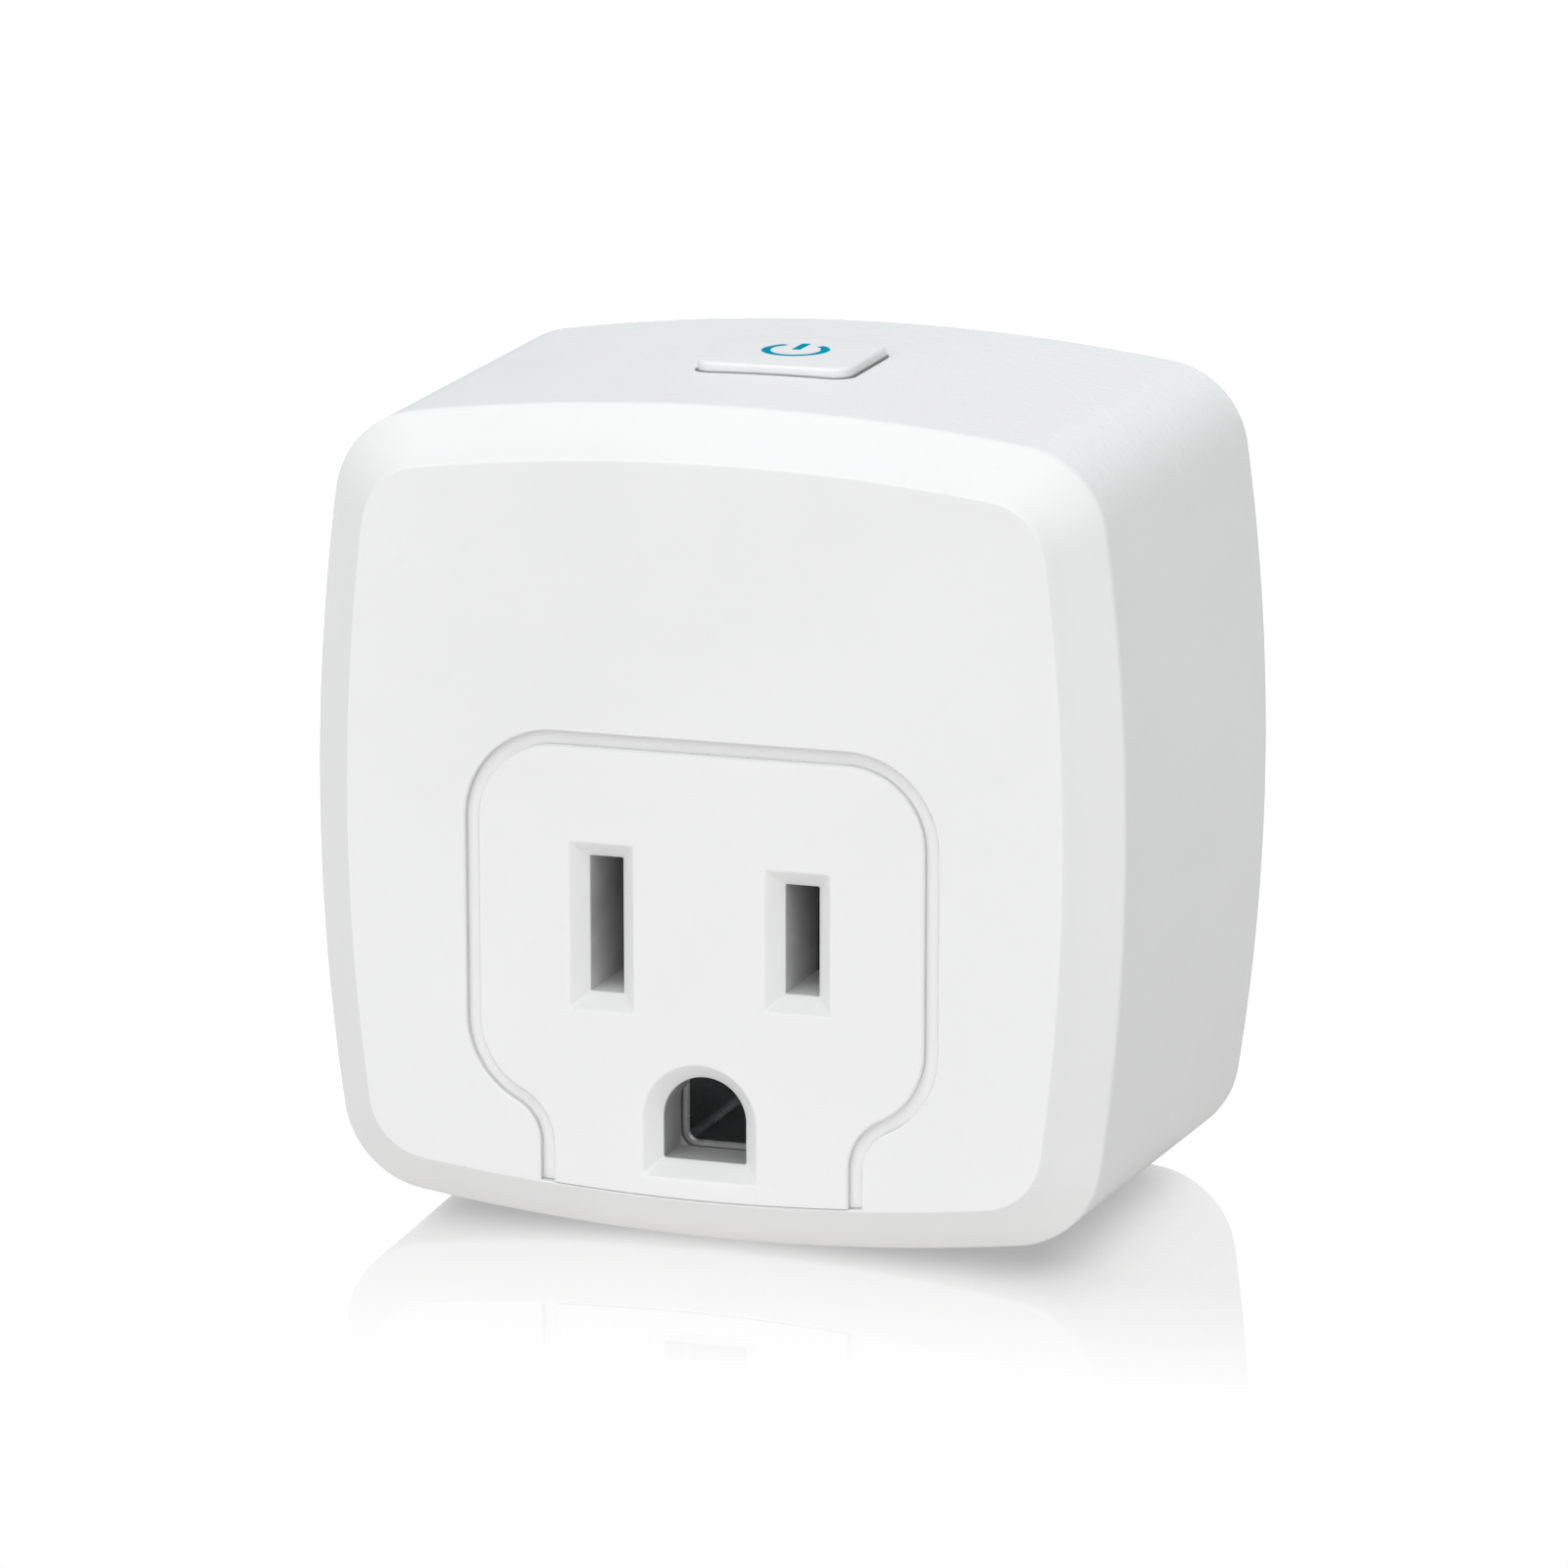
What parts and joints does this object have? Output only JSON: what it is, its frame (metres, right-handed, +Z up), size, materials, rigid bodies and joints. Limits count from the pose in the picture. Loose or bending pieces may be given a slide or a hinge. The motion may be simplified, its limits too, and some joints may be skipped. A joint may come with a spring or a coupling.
{
  "type": "smart plug",
  "caption": "Square wall-plug adapter with bowed sides, bevelled front, grooved three-pin socket panel, raised power button on top and three blades behind.",
  "frame": {"origin": "centre of the flat back face that rests on the wall plate", "axes": "+X to the right seen from the front, +Y into the wall along the blades, +Z up towards the button"},
  "size_m": [0.0542, 0.0531, 0.0545],
  "materials": {
    "white_housing": "white polycarbonate, satin front, fine spark-eroded grain on the sides",
    "white_button": "white polycarbonate, smooth satin",
    "tinted_guide": "cyan translucent light guide",
    "grey_moulding": "light grey glass-filled moulding",
    "black_moulding": "black moulding",
    "plated_brass": "nickel-plated brass",
    "tinned_steel": "tin-plated sheet metal",
    "screw_steel": "zinc-plated steel",
    "circuit_board": "green solder mask over glass-epoxy board",
    "led_body": "small surface-mount lamp",
    "relay_blue": "blue moulded relay case",
    "relay_iron": "soft iron",
    "copper_winding": "enamelled copper wire",
    "copper_spring": "copper alloy spring with silver contact",
    "black_sleeve": "shrink sleeve on an aluminium can",
    "blue_sleeve": "blue coating",
    "yellow_case": "yellow film-capacitor case"
  },
  "bodies": {
    "plug": {"housing": "white_housing", "socket_panel": "white_housing", "contact_carrier": "grey_moulding", "neutral_contact": "tinned_steel", "line_contact": "tinned_steel", "ground_contact": "tinned_steel", "neutral_blade": "plated_brass", "line_blade": "plated_brass", "ground_pin": "plated_brass", "ground_strap": "tinned_steel", "rear_cover": "white_housing", "cover_screw_1": "screw_steel", "cover_screw_2": "screw_steel", "cover_screw_3": "screw_steel", "cover_screw_4": "screw_steel", "switch_body": "black_moulding", "control_board": "circuit_board", "board_header": "black_moulding", "radio_module": "circuit_board", "radio_shield": "tinned_steel", "status_led": "led_body", "relay_case": "relay_blue", "relay_base": "black_moulding", "relay_yoke": "relay_iron", "relay_bobbin": "grey_moulding", "relay_coil": "copper_winding", "relay_fixed_contact": "copper_spring", "power_board": "circuit_board", "bulk_capacitor": "black_sleeve", "output_capacitor": "blue_sleeve", "choke": "copper_winding", "film_capacitor": "yellow_case", "varistor": "blue_sleeve", "fuse": "black_moulding", "rectifier": "black_moulding", "converter_chip": "black_moulding", "relay_diode": "black_moulding"},
    "button": {"button_cap": "white_button", "button_light_guide": "tinted_guide"},
    "switch_plunger": {"switch_plunger": "white_button"},
    "relay_armature": {"relay_armature": "relay_iron", "relay_moving_contact": "copper_spring"}
  },
  "joints": [
    {"name": "button_press", "type": "slide", "parent": "plug", "child": "button", "axis": [0, 0, -1], "range_m": [0, 0.0003], "stiffness_N_per_m": 150, "springref_m": -0.001},
    {"name": "switch_travel", "type": "slide", "parent": "plug", "child": "switch_plunger", "axis": [0, 0, -1], "range_m": [0, 0.0003]},
    {"name": "relay_pull_in", "type": "hinge", "parent": "plug", "child": "relay_armature", "pos_m": [-0.02, -0.02085, 0.0109], "axis": [0, 0, 1], "range_deg": [0, 4], "stiffness_Nm_per_rad": 0.002, "springref_deg": -2.86}
  ],
  "couplings": [
    {"joint": "switch_travel", "follows": "button_press", "ratio": 1}
  ]
}
